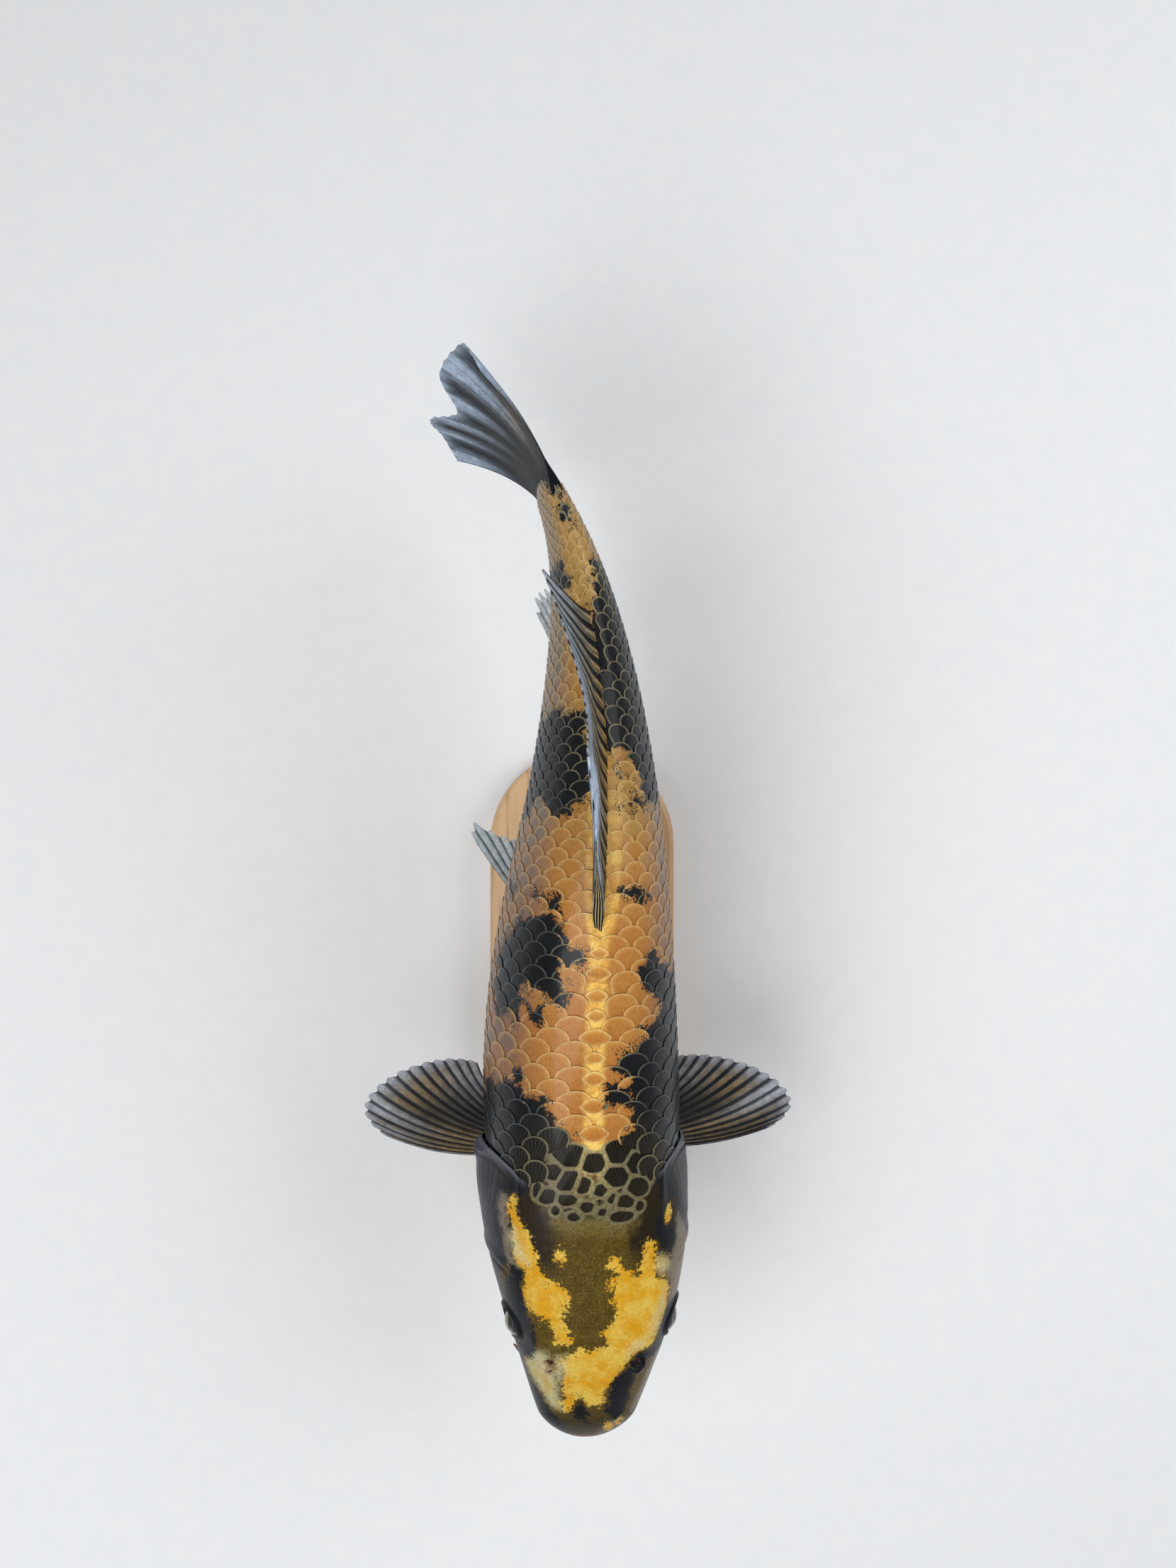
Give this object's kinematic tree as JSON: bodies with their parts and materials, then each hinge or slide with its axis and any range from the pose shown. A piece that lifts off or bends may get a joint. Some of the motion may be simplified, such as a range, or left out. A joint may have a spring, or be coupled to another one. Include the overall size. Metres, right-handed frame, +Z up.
{
  "type": "koi carp display model",
  "caption": "Life-size still model of a swimming koi carp, tail bent and fins spread, held over a plain oblong base by slim rods.",
  "frame": {"origin": "middle of the underside of the stand's base, on the surface it stands on", "axes": "+Z up through the fish's back, +Y from the head towards the tail, +X to the fish's left side; the tail bends towards -X"},
  "size_m": [0.1836, 0.435, 0.2129],
  "materials": {
    "scaled_skin": "wet-looking orange and black scaled skin, overlapping scales with paler rims",
    "head_skin": "smooth moist scaleless skin, olive brown with golden yellow and black patches",
    "gill_skin": "smooth moist dark slate skin over bone",
    "eye": "clear glossy dome over a dark iris with a thin pale ring",
    "barbel": "soft moist feelers",
    "fin": "thin moist skin over bony rays, dark with pale translucent edges",
    "stand_wood": "pale oiled wood, satin",
    "stand_steel": "brushed stainless steel"
  },
  "bodies": {
    "root": {"head": "head_skin", "lower_jaw": "head_skin", "gill_cover_left": "gill_skin", "gill_cover_right": "gill_skin", "eye_left": "eye", "eye_right": "eye", "barbel_front_left": "barbel", "barbel_front_right": "barbel", "barbel_rear_left": "barbel", "barbel_rear_right": "barbel", "trunk_front": "scaled_skin", "trunk_rear": "scaled_skin", "tail_stem": "scaled_skin", "dorsal_fin": "fin", "anal_fin": "fin", "caudal_fin_upper": "fin", "caudal_fin_lower": "fin", "pectoral_fin_left": "fin", "pectoral_fin_right": "fin", "pelvic_fin_left": "fin", "pelvic_fin_right": "fin", "stand_base": "stand_wood", "stand_rod_front": "stand_steel", "stand_rod_rear": "stand_steel", "stand_saddle_front": "stand_steel", "stand_saddle_rear": "stand_steel"}
  },
  "joints": []
}
